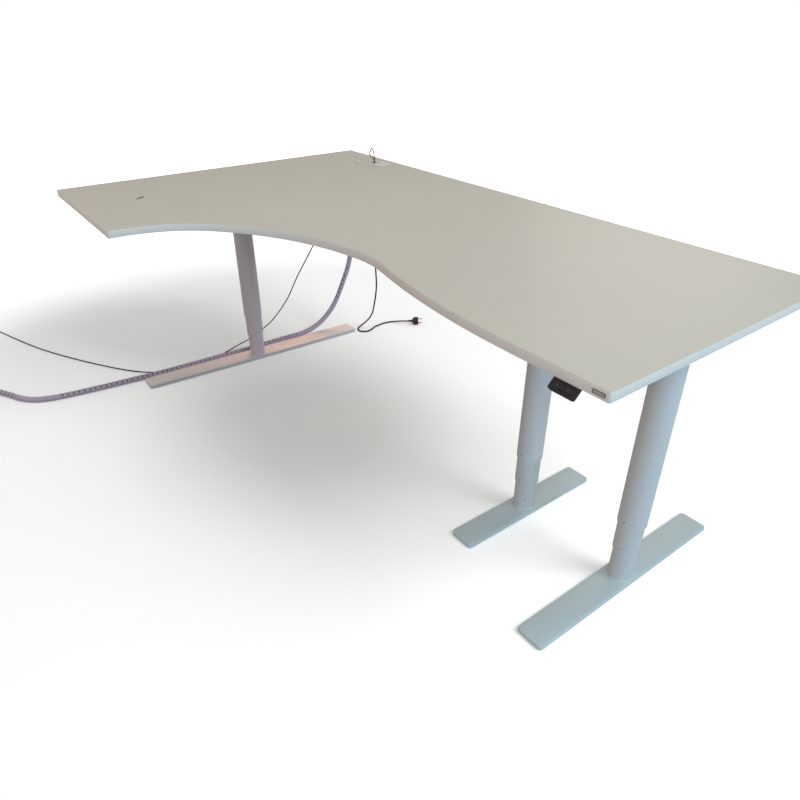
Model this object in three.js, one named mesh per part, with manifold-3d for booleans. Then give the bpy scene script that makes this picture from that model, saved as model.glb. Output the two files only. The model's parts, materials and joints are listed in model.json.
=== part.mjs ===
// Height adjustable corner desk: an L-shaped desktop on three electric telescopic legs.
// Millimetres, +Z up. The origin is on the floor, under the middle of the desktop's 2000 x 1200
// outline: +X runs along the long back edge, +Y points from the user to the back edge.

import * as THREE from 'three';
import { mergeVertices } from 'three/addons/utils/BufferGeometryUtils.js';
import Module from 'manifold-3d';

const wasm = await Module();
wasm.setup();

// ---------------------------------------------------------------- driving dimensions

const clearance = 0.3;            // play between pieces that touch
const degree = Math.PI / 180;

// desktop
const deskLength = 2000;          // back edge
const wingDepth = 1200;           // left edge
const wingWidth = 600;            // front end of the left wing
const endDepth = 800;             // right edge
const deskHeight = 775;           // top surface, as it stands
const boardThickness = 22;
const bandThickness = 2;          // plastic edging round the board
const bandRounding = 1.5;
const outlineCorner = 5;          // radius of the outline's corners
const bayEndStraight = 12;        // straight run between the bay's last arc and the wing's corner
// tangent arcs of the concave front, from the right end inwards: radius and turn (+ turns frontwards)
const bayArcs = [
  { radius: 2080, turn: -13.5, pieces: 7 },
  { radius: 330, turn: 19, pieces: 5 },
  { radius: 800, turn: 35.9, pieces: 9 },
];
const bayEndPieces = 9;

// legs: where each stands, its foot, and how far its support arm reaches from its column
const rightLegInset = 124;        // from the right edge
const middleLegInset = 477;       // from the right edge
const leftLegInset = 114.5;       // from the left edge
const sideLegDepth = 400;         // right and middle legs, from the back edge
const leftLegDepth = 596;         // left leg, from the back edge
const leftFootTurn = -2.4;        // the left foot stands turned a little on its round column
const rightFootLength = 700;
const middleFootLength = 510;
const leftFootLength = 955;
const rightArmBack = 320;
const middleArmReach = 260;       // the same to the back and to the front
const leftArmFront = 400;
const armHandsetGap = 65;         // between the right support arm and the handset's flange
const armBoxGap = 12;             // between the left support arm and the control box's ears

// telescopic columns, from the desktop down
const outerDiameter = 74;
const middleDiameter = 68;
const innerDiameter = 62;
const outerWall = 1.5;
const middleWall = 1.5;
const innerWall = 2;
const columnSides = 28;
const lowerExposure = 92;         // inner tube seen below the middle tube's rim
const upperExposure = 88;         // middle tube seen below the outer tube's rim
const travelDown = 155;           // from this height to the lowest
const endClearance = 8;           // left over inside the column at the lowest height
const bushLength = 30;
const bushRecess = 2;             // bushes sit this far above the rims
const innerFloor = 6;             // plate that closes the inner tube
const spindleDiameter = 14;
const spindleEndDiameter = 24;    // guide disc at the spindle's foot
const spindleEndHeight = 10;

// feet
const footWidth = 80;
const footThickness = 12;
const footCorner = 10;
const footRounding = 2.5;
const glideHeight = 3;
const glideDiameter = 28;
const glideStemDiameter = 8;
const glideStemLength = 7;
const glideInset = 32;            // from the end of the foot

// underframe
const armWidth = 100;
const armDepth = 25;
const armSheet = 3;
const armScrewHole = 7;
const armScrewInset = 30;
const beamWidth = 80;
const beamHeight = 30;
const beamWall = 2;
const beamCorner = 5;

// gear housing on top of each column, with its motor lying in the support arm
const gearLength = 96;
const gearWidth = 76;
const gearHeight = 58;
const gearCorner = 14;
const motorDiameter = 54;
const motorReach = 97;            // from the column's axis to the motor's end
const motorCapDiameter = 44;
const motorCapLength = 6;

// control box under the back left corner
const boxWidth = 95;
const boxLength = 265;
const boxHeight = 38;
const boxCorner = 8;
const boxInsetLeft = 105;         // from the left edge
const boxInsetBack = 35;          // from the back edge
const boxRounding = 2;
const boxEarWidth = 14;
const boxEarLength = 30;
const boxEarThickness = 4;
const glandInsetBack = 50;
const glandDrop = 21;             // below the underside of the board
const glandLength = 22;
const glandRootDiameter = 15;

// handset under the front edge: a slanted panel on a flange that is screwed to the board
const handsetWidth = 57;
const handsetCentre = 91.6;       // from the right edge
const handsetSlant = 45;          // of the key face, to the horizontal
const handsetFace = 23;           // from the board's edge down to the panel's lower end
const handsetCorner = 5;
const handsetThickness = 12;
const handsetRounding = 1.5;
const handsetFlange = 55;         // behind the front edge
const handsetFlangeThickness = 5;
const keyWidth = 22;
const keyHeight = 13;
const keyCorner = 2.5;
const keySpacing = 24;
const keyMiddle = 10.6;           // down the face from the board's edge
const keyProud = 0.5;
const keyThickness = 3;
const keyWellDepth = 4;
const keyPlay = 0.4;

// bare plate on the front edge
const plateWidth = 27;
const plateHeight = 8.5;
const plateThickness = 1;
const plateCentre = 23.3;         // from the right edge
const plateBorder = 1.3;
const plateRecess = 0.4;

// cable outlet near the back left corner
const outletX = 319;              // from the left edge
const outletY = 74;               // from the back edge
const outletBore = 80;
const outletFlange = 88;
const outletFlangeHeight = 2;
const outletWall = 3.2;
const outletLedge = 2.2;
const outletLedgeHeight = 2.7;
const lidThickness = 3.2;
const lidPlay = 0.5;
const lidCut = 16.5;              // the lid's loose segment starts this far from its centre
const lidCutWidth = 40;
const looseX = 238;               // where the loose segment lies, from the left edge
const looseY = 123;               // and from the back edge
const looseTurn = 90;
const outletSides = 32;

// cords
const mainsDiameter = 6.5;
const spineDiameter = 22;
const dataDiameter = 4.5;
const leadDiameter = 5;           // motor and handset leads
const plugDiameter = 37;
const plugHead = 21;
const plugNeck = 26;
const plugNeckDiameter = 9.5;
const pinDiameter = 4.8;
const pinLength = 19;
const pinSpacing = 19;
const coilDiameter = 52;          // across the middle of the turns
const coilTurns = 2;
const connectorLength = 23;
const connectorWidth = 12;
const connectorHeight = 8.5;
const connectorCorner = 1.5;
const clipWidth = 12;
const clipPoint = 17;             // the clip sits after this point of the data cable's route

// ---------------------------------------------------------------- derived places

const left = -deskLength / 2;
const right = deskLength / 2;
const back = wingDepth / 2;
const front = -wingDepth / 2;
const underside = deskHeight - boardThickness;
const footTop = glideHeight + footThickness;
const armTop = underside - clearance;
const gearTop = armTop - armSheet - clearance;
const gearBottom = gearTop - gearHeight;
const middleRim = footTop + lowerExposure;
const outerRim = middleRim + upperExposure;
const innerTop = gearBottom - travelDown - endClearance;
const middleTop = gearBottom - travelDown / 2 - endClearance;

const legs = [
  {
    name: 'right', x: right - rightLegInset, y: back - sideLegDepth,
    footLength: rightFootLength, footTurn: 0,
    armBack: rightArmBack, armFront: endDepth - sideLegDepth - handsetFlange - armHandsetGap,
  },
  {
    name: 'middle', x: right - middleLegInset, y: back - sideLegDepth,
    footLength: middleFootLength, footTurn: 0,
    armBack: middleArmReach, armFront: middleArmReach,
  },
  {
    name: 'left', x: left + leftLegInset, y: back - leftLegDepth,
    footLength: leftFootLength, footTurn: leftFootTurn,
    armBack: leftLegDepth - boxInsetBack - boxLength - boxEarWidth - armBoxGap,
    armFront: leftArmFront,
  },
];
const [rightLeg, middleLeg, leftLeg] = legs;

// ---------------------------------------------------------------- finishes

const finish = (color, roughness, metalness = 0) =>
  new THREE.MeshStandardMaterial({ color, roughness, metalness });
const laminate = finish(0xc9c4b6, 0.35);
const edging = finish(0xb3aea2, 0.45);
const powderCoat = finish(0xb9c0c2, 0.45, 0.2);
const castMetal = finish(0x8d9092, 0.5, 0.6);
const bareSteel = finish(0xa8aaac, 0.3, 0.9);
const blackPlastic = finish(0x242222, 0.5);
const keyPlastic = finish(0x2e2c2c, 0.45);
const palePlastic = finish(0xd2cfc4, 0.4);
const plateMetal = finish(0x77735f, 0.4, 0.6);
const glidePlastic = finish(0x3a3a3a, 0.7);
const bushPlastic = finish(0xd8d8d4, 0.5);
const mainsRubber = finish(0x1c1012, 0.5);
const spinePlastic = finish(0xa7a6ad, 0.5);
const dataJacket = finish(0x6d6567, 0.5);
const leadJacket = finish(0x333335, 0.5);

// ---------------------------------------------------------------- shape tools

/** Closed outline of a rectangle with round corners, centred on (x, y). */
function roundedRectangle(width, height, radius, x = 0, y = 0) {
  const shape = new THREE.Shape();
  const w = width / 2 - radius;
  const h = height / 2 - radius;
  shape.absarc(x + w, y + h, radius, 0, Math.PI / 2, false);
  shape.absarc(x - w, y + h, radius, Math.PI / 2, Math.PI, false);
  shape.absarc(x - w, y - h, radius, Math.PI, 1.5 * Math.PI, false);
  shape.absarc(x + w, y - h, radius, 1.5 * Math.PI, 2 * Math.PI, false);
  shape.closePath();
  return shape;
}

/** Solid of a plane outline, standing on z = 0; its edges can be rounded inwards. */
function plate(shape, height, { rounding = 0, steps = 2, curveSegments = 4 } = {}) {
  const geometry = new THREE.ExtrudeGeometry(shape, {
    depth: height - 2 * rounding,
    curveSegments,
    bevelEnabled: rounding > 0,
    bevelThickness: rounding,
    bevelSize: rounding,
    bevelOffset: -rounding,
    bevelSegments: steps,
  });
  return geometry.translate(0, 0, rounding);
}

/** Round solid about Z from a closed profile of [radius, height] pairs. */
function turned(profile, sides = columnSides) {
  const points = [...profile, profile[0]].map(([r, z]) => new THREE.Vector2(r, z));
  return new THREE.LatheGeometry(points, sides).rotateX(Math.PI / 2);
}

/** Round bar along Z. */
function bar(diameter, length, sides = 20) {
  const radius = diameter / 2;
  return new THREE.CylinderGeometry(radius, radius, length, sides)
    .rotateX(Math.PI / 2)
    .translate(0, 0, length / 2);
}

/** Turns a plate's outline so that it lies in YZ and its height runs along +X. */
const alongX = new THREE.Matrix4().makeBasis(
  new THREE.Vector3(0, 1, 0), new THREE.Vector3(0, 0, 1), new THREE.Vector3(1, 0, 0));

/** Turns a plate's outline so that it lies in XZ and its height runs along -Y. */
const alongMinusY = new THREE.Matrix4().makeBasis(
  new THREE.Vector3(1, 0, 0), new THREE.Vector3(0, 0, 1), new THREE.Vector3(0, -1, 0));

/** A route through hand-set points, sampled evenly between points, so bends get short steps. */
class Route extends THREE.CatmullRomCurve3 {
  constructor(points) {
    super(points.map(([x, y, z]) => new THREE.Vector3(x, y, z)), false, 'centripetal');
  }
  getPointAt(u, target) {
    return this.getPoint(u, target);
  }
  getTangentAt(u, target) {
    return this.getTangent(u, target);
  }
  getSpacedPoints(divisions) {
    return this.getPoints(divisions);
  }
}

/** Tube of a cord along its route. */
function cordTube(points, diameter, { sides = 8, perPoint = 2 } = {}) {
  const section = new THREE.Shape();
  for (let i = 0; i < sides; i += 1) {
    const angle = (2 * Math.PI * (i + 0.5)) / sides;
    section[i ? 'lineTo' : 'moveTo'](Math.cos(angle) * diameter / 2, Math.sin(angle) * diameter / 2);
  }
  section.closePath();
  return new THREE.ExtrudeGeometry(section, {
    steps: (points.length - 1) * perPoint,
    bevelEnabled: false,
    extrudePath: new Route(points),
  });
}

/** Closed geometry as a manifold solid. */
function solid(geometry) {
  const source = geometry.clone();
  source.deleteAttribute('normal');
  source.deleteAttribute('uv');
  const merged = mergeVertices(source, 1e-4);
  return new wasm.Manifold(new wasm.Mesh({
    numProp: 3,
    vertProperties: Float32Array.from(merged.attributes.position.array),
    triVerts: Uint32Array.from(merged.index.array),
  }));
}

/** Manifold solid as a geometry. */
function toGeometry(body) {
  const mesh = body.getMesh();
  const geometry = new THREE.BufferGeometry();
  geometry.setAttribute('position', new THREE.BufferAttribute(mesh.vertProperties, 3));
  geometry.setIndex(new THREE.BufferAttribute(mesh.triVerts, 1));
  const flat = geometry.toNonIndexed();
  flat.computeVertexNormals();
  return flat;
}

const cut = (body, ...tools) =>
  toGeometry(tools.reduce((rest, tool) => rest.subtract(solid(tool)), solid(body)));
const join = (...pieces) =>
  toGeometry(pieces.map(solid).reduce((whole, piece) => whole.add(piece)));

function part(name, geometry, material, x = 0, y = 0, z = 0) {
  const mesh = new THREE.Mesh(geometry, material);
  mesh.name = name;
  mesh.position.set(x, y, z);
  return mesh;
}

// ---------------------------------------------------------------- desktop

/** Points of the concave front from the right end to the wing, walked as tangent arcs. */
function bayPoints() {
  const rightEnd = new THREE.Vector2(right, back - endDepth);
  let heading = Math.PI;
  let place = new THREE.Vector2(0, 0);
  const points = [place.clone()];
  const walk = (radius, turn, pieces) => {
    const side = Math.sign(turn);
    const centre = new THREE.Vector2(-Math.sin(heading), Math.cos(heading))
      .multiplyScalar(radius * side).add(place);
    for (let i = 1; i <= pieces; i += 1) {
      points.push(place.clone().rotateAround(centre, (turn * i) / pieces));
    }
    place = points[points.length - 1].clone();
    heading += turn;
  };
  for (const { radius, turn, pieces } of bayArcs) {
    walk(radius, turn * degree, pieces);
  }
  // the last arc turns to straight ahead and uses up the depth that is left
  const lastTurn = 1.5 * Math.PI - heading;
  const depthLeft = rightEnd.y + place.y - (front + outlineCorner + bayEndStraight);
  walk(depthLeft / -Math.cos(heading), lastTurn, bayEndPieces);
  const shift = left + wingWidth - place.x;
  return points.map((p) => new THREE.Vector2(p.x + shift, p.y + rightEnd.y));
}

/** Points of a corner's quarter arc round (x, y), from a start angle in degrees. */
function cornerPoints(x, y, start) {
  const arc = new THREE.ArcCurve(x, y, outlineCorner, start * degree, (start + 90) * degree, false);
  return arc.getPoints(3);
}

/** The desktop's outline, anticlockwise from the back right corner. */
function deskOutline() {
  const r = outlineCorner;
  return [
    ...cornerPoints(right - r, back - r, 0),
    ...cornerPoints(left + r, back - r, 90),
    ...cornerPoints(left + r, front + r, 180),
    ...cornerPoints(left + wingWidth - r, front + r, 270),
    ...bayPoints().reverse(),
    ...cornerPoints(right - r, back - endDepth + r, 270),
  ];
}

/** Outline moved inwards by a distance, corner by corner. */
function inset(outline, distance) {
  const count = outline.length;
  return outline.map((point, i) => {
    const before = point.clone().sub(outline[(i + count - 1) % count]).normalize();
    const after = outline[(i + 1) % count].clone().sub(point).normalize();
    const inwards = new THREE.Vector2(-before.y - after.y, before.x + after.x);
    return point.clone().addScaledVector(inwards, distance / (1 + before.dot(after)));
  });
}

function desktop() {
  const group = new THREE.Group();
  const outline = deskOutline();
  const board = new THREE.Shape(inset(outline, bandThickness + clearance));
  const hole = new THREE.Path();
  hole.absarc(left + outletX, back - outletY, outletBore / 2, 0, 2 * Math.PI, true);
  board.holes.push(hole);
  group.add(part('desktop_board', plate(board, boardThickness, { curveSegments: outletSides / 2 }),
    laminate, 0, 0, underside));

  const blank = plate(new THREE.Shape(outline), boardThickness, { rounding: bandRounding, steps: 2 });
  const core = plate(new THREE.Shape(inset(outline, bandThickness)), 2 * boardThickness)
    .translate(0, 0, -boardThickness / 2);
  group.add(part('edge_band', cut(blank, core), edging, 0, 0, underside));

  group.add(edgePlate());
  group.add(cableOutlet());
  return group;
}

/** Bare metal plate near the right end of the front edge. */
function edgePlate() {
  const corners = { curveSegments: 2 };
  const body = plate(roundedRectangle(plateWidth, plateHeight, 1), plateThickness, corners);
  const field = plate(
    roundedRectangle(plateWidth - 2 * plateBorder, plateHeight - 2 * plateBorder, 0.5), plateThickness,
    corners).translate(0, 0, plateThickness - plateRecess);
  const mesh = part('edge_plate', cut(body, field).applyMatrix4(alongMinusY), plateMetal);
  mesh.position.set(right - plateCentre, back - endDepth - clearance, deskHeight - boardThickness / 2);
  return mesh;
}

/** Lined cable outlet: flanged liner, lid with its cable opening, and the lid's loose segment. */
function cableOutlet() {
  const group = new THREE.Group();
  group.position.set(left + outletX, back - outletY, deskHeight);
  const outer = outletBore / 2 - clearance;
  const inner = outer - outletWall;
  const ledge = inner - outletLedge;
  const lidBottom = outletFlangeHeight + clearance - lidThickness;
  const ledgeTop = lidBottom - clearance;
  const flangeTop = outletFlangeHeight + clearance;
  const liner = turned([
    [outer, 1 - boardThickness], [outer, clearance], [outletFlange / 2, clearance],
    [outletFlange / 2 - 1, flangeTop], [inner, flangeTop], [inner, ledgeTop], [ledge, ledgeTop],
    [ledge, ledgeTop - outletLedgeHeight], [inner, ledgeTop - outletLedgeHeight - outletLedge],
    [inner, 1 - boardThickness],
  ], outletSides);
  group.add(part('outlet_liner', liner, palePlastic));

  const lidRadius = inner - lidPlay;
  const half = Math.asin(lidCutWidth / 2 / lidRadius);
  const lid = new THREE.Shape();
  lid.absarc(0, 0, lidRadius, Math.PI + half, 3 * Math.PI - half, false);
  lid.lineTo(-lidCut, lidCutWidth / 2);
  lid.lineTo(-lidCut, -lidCutWidth / 2);
  lid.closePath();
  const lidEdge = { rounding: 0.5, steps: 1 };
  group.add(part('outlet_lid', plate(lid, lidThickness, { ...lidEdge, curveSegments: 12 }),
    palePlastic, 0, 0, lidBottom));

  const segment = new THREE.Shape();
  segment.absarc(0, 0, lidRadius, Math.PI - half, Math.PI + half, false);
  segment.lineTo(-lidCut - clearance, -lidCutWidth / 2);
  segment.lineTo(-lidCut - clearance, lidCutWidth / 2);
  segment.closePath();
  const loose = plate(segment, lidThickness, { ...lidEdge, curveSegments: 3 })
    .translate((lidRadius + lidCut) / 2, 0, 0)
    .rotateZ(looseTurn * degree);
  group.add(part('outlet_lid_segment', loose, palePlastic, looseX - outletX, outletY - looseY, clearance));
  return group;
}

// ---------------------------------------------------------------- legs

/** Channel under the board that carries a leg: its web is up, its sides hang down. */
function supportArm(leg) {
  const w = armWidth / 2;
  const section = new THREE.Shape([
    [-w, -armDepth], [-w, -armSheet], [-w + armSheet, 0], [w - armSheet, 0], [w, -armSheet],
    [w, -armDepth], [w - armSheet, -armDepth], [w - armSheet, -armSheet], [-w + armSheet, -armSheet],
    [-w + armSheet, -armDepth],
  ].map(([x, y]) => new THREE.Vector2(x, y)));
  const length = leg.armBack + leg.armFront;
  const channel = plate(section, length).applyMatrix4(alongMinusY).translate(0, leg.armBack, 0);
  const holes = [];
  for (const y of [leg.armBack - armScrewInset, -leg.armFront + armScrewInset]) {
    for (const x of [-1, 1]) {
      holes.push(bar(armScrewHole, 3 * armSheet, 10).translate(x * armWidth / 4, y, -2 * armSheet));
    }
  }
  return part(`support_arm_${leg.name}`, cut(channel, ...holes), powderCoat, leg.x, leg.y, armTop);
}

/** Cast gear housing that closes the column, joined to its lying motor. */
function gearHousing(leg) {
  const block = plate(roundedRectangle(gearWidth, gearLength, gearCorner), gearHeight,
    { rounding: 3, steps: 1, curveSegments: 3 });
  const lying = (diameter, start, end) => bar(diameter, end - start, 24)
    .rotateX(-Math.PI / 2)
    .translate(0, start, gearHeight / 2);
  const motor = lying(motorDiameter, gearLength / 4, motorReach - motorCapLength);
  const cap = lying(motorCapDiameter, gearLength / 4, motorReach);
  return part(`gear_housing_${leg.name}`, join(block, motor, cap), castMetal, leg.x, leg.y, gearBottom);
}

/** Open tube about Z between two heights. */
function tube(diameter, wall, bottom, top) {
  const outer = diameter / 2;
  return turned([[outer - wall, bottom], [outer, bottom], [outer, top], [outer - wall, top]]);
}

/** Slide bush that lines the mouth of a tube and guides the tube inside it. */
function slideBush(outerTubeDiameter, wall, innerTubeDiameter, rim) {
  const outer = outerTubeDiameter / 2 - wall - clearance;
  const inner = innerTubeDiameter / 2 + clearance;
  const bottom = rim + bushRecess;
  return turned([[inner, bottom], [outer, bottom], [outer, bottom + bushLength], [inner, bottom + bushLength]]);
}

/** Lifting spindle that hangs from the gear housing, with a guide disc at its foot. */
function spindle() {
  const bottom = footTop + clearance + innerFloor + travelDown + endClearance;
  const r = spindleDiameter / 2;
  const disc = spindleEndDiameter / 2;
  return turned([
    [0, bottom], [disc - 1, bottom], [disc, bottom + 1], [disc, bottom + spindleEndHeight],
    [r, bottom + spindleEndHeight], [r, gearBottom - clearance], [0, gearBottom - clearance],
  ], 16);
}

function column(leg) {
  const group = new THREE.Group();
  group.position.set(leg.x, leg.y, 0);
  const outerTube = tube(outerDiameter, outerWall, outerRim, gearBottom - clearance);
  const middleTube = tube(middleDiameter, middleWall, middleRim, middleTop);
  const inner = innerDiameter / 2;
  const innerBottom = footTop + clearance;
  const innerTube = turned([
    [0, innerBottom], [inner, innerBottom], [inner, innerTop], [inner - innerWall, innerTop],
    [inner - innerWall, innerBottom + innerFloor], [0, innerBottom + innerFloor],
  ]);
  group.add(part(`outer_tube_${leg.name}`, outerTube, powderCoat));
  group.add(part(`outer_bush_${leg.name}`,
    slideBush(outerDiameter, outerWall, middleDiameter, outerRim), bushPlastic));
  group.add(part(`middle_tube_${leg.name}`, middleTube, powderCoat));
  group.add(part(`middle_bush_${leg.name}`,
    slideBush(middleDiameter, middleWall, innerDiameter, middleRim), bushPlastic));
  group.add(part(`inner_tube_${leg.name}`, innerTube, powderCoat));
  group.add(part(`spindle_${leg.name}`, spindle(), bareSteel));
  return group;
}

/** Flat foot bar on two screwed glides. */
function foot(leg) {
  const group = new THREE.Group();
  group.position.set(leg.x, leg.y, 0);
  group.rotation.z = leg.footTurn * degree;
  const slab = plate(roundedRectangle(footWidth, leg.footLength, footCorner), footThickness,
    { rounding: footRounding, steps: 2, curveSegments: 3 });
  const places = [leg.footLength / 2 - glideInset, glideInset - leg.footLength / 2];
  const sockets = places.map((y) =>
    bar(glideStemDiameter + 2 * clearance, 2 * (glideStemLength + clearance), 12)
      .translate(0, y, -glideStemLength - clearance));
  group.add(part(`foot_${leg.name}`, cut(slab, ...sockets), powderCoat, 0, 0, glideHeight));

  const pad = glideDiameter / 2;
  const stem = glideStemDiameter / 2;
  const padTop = glideHeight - clearance;
  places.forEach((y, i) => {
    const glide = turned([
      [0, 0], [pad - 0.8, 0], [pad, 0.8], [pad, padTop], [stem, padTop],
      [stem, padTop + glideStemLength], [0, padTop + glideStemLength],
    ], 12);
    group.add(part(`glide_${leg.name}_${i ? 'front' : 'back'}`, glide, glidePlastic, 0, y, 0));
  });
  return group;
}

/** Rectangular steel tube between the support arms of two legs. */
function beam(name, from, to) {
  const section = roundedRectangle(beamWidth, beamHeight, beamCorner);
  section.holes.push(roundedRectangle(beamWidth - 2 * beamWall, beamHeight - 2 * beamWall,
    beamCorner - beamWall));
  const start = from.x + armWidth / 2 + clearance;
  const length = to.x - armWidth / 2 - clearance - start;
  const geometry = plate(section, length, { curveSegments: 2 }).applyMatrix4(alongX);
  return part(name, geometry, powderCoat, start, rightLeg.y, armTop - beamHeight / 2);
}

// ---------------------------------------------------------------- control box and handset

function controlBox() {
  const group = new THREE.Group();
  const x = left + boxInsetLeft + boxWidth / 2;
  const y = back - boxInsetBack - boxLength / 2;
  const body = plate(roundedRectangle(boxWidth, boxLength, boxCorner), boxHeight,
    { rounding: boxRounding, steps: 1, curveSegments: 2 });
  const ears = [-1, 1].map((side) =>
    plate(roundedRectangle(boxEarLength, 2 * boxEarWidth + boxCorner, 4), boxEarThickness, { curveSegments: 2 })
      .translate(0, side * (boxLength / 2 - boxCorner / 2), boxHeight - boxEarThickness));
  group.add(part('control_box', join(body, ...ears), blackPlastic, x, y, armTop - boxHeight));

  const root = glandRootDiameter / 2;
  const tip = mainsDiameter / 2 + 1.2;
  const gland = turned([[0, 0], [root, 0], [root, 4], [root - 1.5, 5.5], [tip, glandLength], [0, glandLength]], 16);
  const mesh = part('mains_gland', gland.rotateY(Math.PI / 2), blackPlastic);
  mesh.position.set(x + boxWidth / 2 + clearance, back - glandInsetBack, underside - glandDrop);
  group.add(mesh);
  return group;
}

/** Handset: its slanted panel stands out in front of the board's edge and carries two keys. */
function handset() {
  const group = new THREE.Group();
  group.position.set(right - handsetCentre, back - endDepth, armTop);
  // the key face's own frame: the middle of its top edge, +Y up the face, +Z out of it
  const face = new THREE.Matrix4().makeRotationX(handsetSlant * degree);
  const overrun = handsetThickness;
  const panel = plate(
    roundedRectangle(handsetWidth, handsetFace + overrun, handsetCorner), handsetThickness,
    { rounding: handsetRounding, steps: 2, curveSegments: 3 })
    .translate(0, (overrun - handsetFace) / 2, -handsetThickness)
    .applyMatrix4(face);
  const flange = plate(roundedRectangle(handsetWidth, handsetFlange, 2), handsetFlangeThickness,
    { curveSegments: 2 }).translate(0, handsetFlange / 2, -handsetFlangeThickness);
  const board = new THREE.BoxGeometry(2 * handsetWidth, handsetFlange, boardThickness)
    .translate(0, 0, boardThickness / 2);
  const key = (grow, height, edge) => plate(
    roundedRectangle(keyWidth + grow, keyHeight + grow, keyCorner), height, { curveSegments: 2, ...edge });
  const keys = [['down', -1], ['up', 1]];
  const wells = keys.map(([, side]) => key(2 * keyPlay, 2 * keyWellDepth)
    .translate(side * keySpacing / 2, -keyMiddle, -keyWellDepth)
    .applyMatrix4(face));
  group.add(part('handset_body', cut(join(panel, flange), board, ...wells), blackPlastic));
  for (const [name, side] of keys) {
    const cap = key(0, keyThickness, { rounding: 0.5, steps: 1 })
      .translate(side * keySpacing / 2, -keyMiddle, keyProud - keyThickness)
      .applyMatrix4(face);
    group.add(part(`handset_key_${name}`, cap, keyPlastic));
  }
  return group;
}

// ---------------------------------------------------------------- cords

// Routes are set by hand from the floor under the desktop's back left corner.
const plugX = 272;
const plugY = 148.3;
const plugTurn = 57;
const mainsRoute = [
  [222.9, -50, 732], [233.4, -50, 731.9], [243.7, -50, 730.1], [253, -50, 725.3],
  [260.3, -50, 717.9], [265.1, -50, 708.7], [266.9, -50, 698.4], [267, -50, 687.9],
  [263, -50, 640], [254, -50, 540], [245, -50, 440], [244.5, -50, 350], [248.1, -50, 290.6],
  [249.8, -49.8, 240], [243.9, -51.1, 189.6], [233.2, -52, 145.5], [219.2, -52.9, 100.2],
  [201.9, -54.1, 70.5], [177.3, -44.5, 50.3], [152.3, -53.1, 21.7], [146.5, -68.8, 10.2],
  [150.9, -87.6, 4.7], [162.5, -100, 3.6], [176.8, -104.5, 3.6], [191, -101.6, 3.9],
  [204, -90.4, 4.3], [209, -74.8, 4.4], [200.2, -43.3, 4.1], [187.3, -21.7, 3.6], [184, 1.2, 3.6],
  [180.9, 24.2, 3.6], [181, 46.3, 3.6], [187.8, 69, 4.1], [203.8, 87.6, 7.1], [226.1, 100.6, 13.4],
  [245.5, 111.5, 17.4], [257.6, 126, 18.6],
];
const spineRoute = [
  [78, -68, 738], [78, -68, 640], [78, -68, 540], [78, -68.5, 440], [78, -76, 331],
  [78, -95, 271], [78, -116.5, 226.5], [77, -141, 175.5], [75, -167.5, 127], [72, -200, 86],
  [70, -243, 51], [63, -292, 24], [58, -338, 12.5], [56, -400, 11.4], [55, -480, 11.4],
  [55, -570, 11.4], [54, -650, 11.4], [49, -744, 11.4], [46, -850, 11.4], [42, -940, 11.4],
  [36, -1028, 11.4], [29, -1100, 11.4], [21, -1180, 11.4], [11, -1265, 11.4], [-1, -1350, 11.4],
  [-17, -1418, 11.4], [-42, -1468, 11.4], [-82, -1505, 11.4], [-130, -1531, 11.4],
  [-184, -1563, 11.4], [-225, -1587, 11.4],
];
const dataRoute = [
  [295.5, -81.5, 736.4], [295.5, -81.5, 752], [295.5, -81.5, 768], [298, -79.1, 777.4],
  [298.4, -80.1, 795.1], [296.2, -81.5, 811.3], [289.7, -81.1, 823.9], [280.6, -78.9, 829.1],
  [272.7, -77.2, 827.3], [266.5, -77.1, 818.8], [264.4, -79, 805], [266.4, -77.1, 798.9],
  [276.8, -72.8, 790.9], [287.1, -73.8, 781.2], [290.3, -76.8, 769.9], [289.4, -83, 757],
  [284.5, -92, 748.2], [250, -142, 746], [226, -176, 745], [214, -193, 736], [208, -201, 708],
  [188, -231, 612], [152, -275, 488], [121, -312, 400], [91, -359, 303], [70, -413, 196],
  [62, -487, 118], [50, -531, 84], [18, -587, 38], [4, -638, 17], [0, -672, 5], [11, -706, 2.6],
  [29, -752, 2.6], [28, -850, 2.6], [20, -985, 2.6], [-12, -1036, 2.6], [-66, -1088, 2.6],
  [-194, -1176, 2.6], [-505, -1345, 2.6], [-956, -1511, 2.6],
];
// the leads are set the same way from the underside of the board
const motorLeadRight = [
  [200.5, -243, -19], [215, -243, -19], [250, -243, -13], [285, -243, -5], [320, -243, -4],
  [860, -243, -4], [1400, -243, -4], [1430, -243, -9], [1455, -243, -26], [1480, -243, -31],
  [1566, -243, -31], [1591, -243, -26], [1616, -243, -9], [1646, -243, -4], [1790, -243, -4],
  [1806, -243, -15], [1822, -243, -28], [1845, -244, -32], [1864, -252, -32.6],
  [1874, -268, -32.6], [1876, -288, -32.6], [1876, -302.6, -32.6],
];
const motorLeadMiddle = [
  [200.5, -261, -19], [215, -261, -19], [250, -261, -13], [285, -261, -5], [320, -261, -4],
  [860, -261, -4], [1400, -261, -4], [1430, -261, -9], [1450, -261, -21], [1470, -261, -30],
  [1492, -262, -32.6], [1511, -267, -32.6], [1521, -280, -32.6], [1523, -294, -32.6],
  [1523, -302.6, -32.6],
];
const motorLeadLeft = [
  [200.5, -279, -19], [212, -279.5, -19.4], [222, -286, -23], [227, -300, -29], [224, -330, -36],
  [206, -370, -38], [176, -412, -38], [142, -445, -36], [122, -464, -34], [115.5, -480, -32.6],
  [114.5, -498.6, -32.6],
];
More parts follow.
